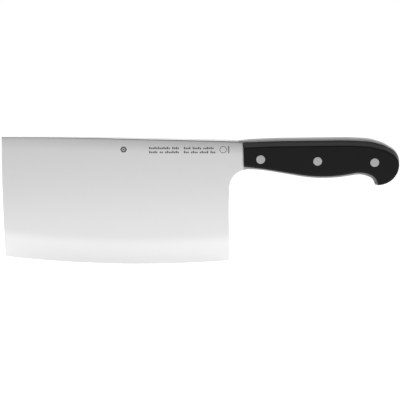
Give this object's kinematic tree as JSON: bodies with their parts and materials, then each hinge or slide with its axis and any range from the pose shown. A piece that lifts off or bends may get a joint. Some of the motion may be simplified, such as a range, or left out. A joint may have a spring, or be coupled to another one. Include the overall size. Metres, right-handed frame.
{
  "type": "cleaver knife",
  "caption": "Cleaver with a tall thin rectangular blade, full tang and black riveted scales with a beaked butt, for slicing and chopping.",
  "frame": {"origin": "centre of the middle rivet, on the middle plane of the tang: the middle of the grip", "axes": "+X from the blade's front along the handle towards the butt, +Y from the left flat side to the right one, +Z from the cutting edge up to the spine"},
  "size_m": [0.3146, 0.017, 0.1066],
  "materials": {
    "blade_steel": "fine ground satin, brighter along the bevel",
    "scale_plastic": "satin moulded black, edges polished by hand",
    "rivet_metal": "ground flush, finely brushed"
  },
  "bodies": {
    "root": {"blade": "blade_steel", "left_scale": "scale_plastic", "right_scale": "scale_plastic", "rivet_barrel_front": "rivet_metal", "rivet_barrel_middle": "rivet_metal", "rivet_barrel_rear": "rivet_metal", "rivet_pin_front": "rivet_metal", "rivet_pin_middle": "rivet_metal", "rivet_pin_rear": "rivet_metal"}
  },
  "joints": []
}
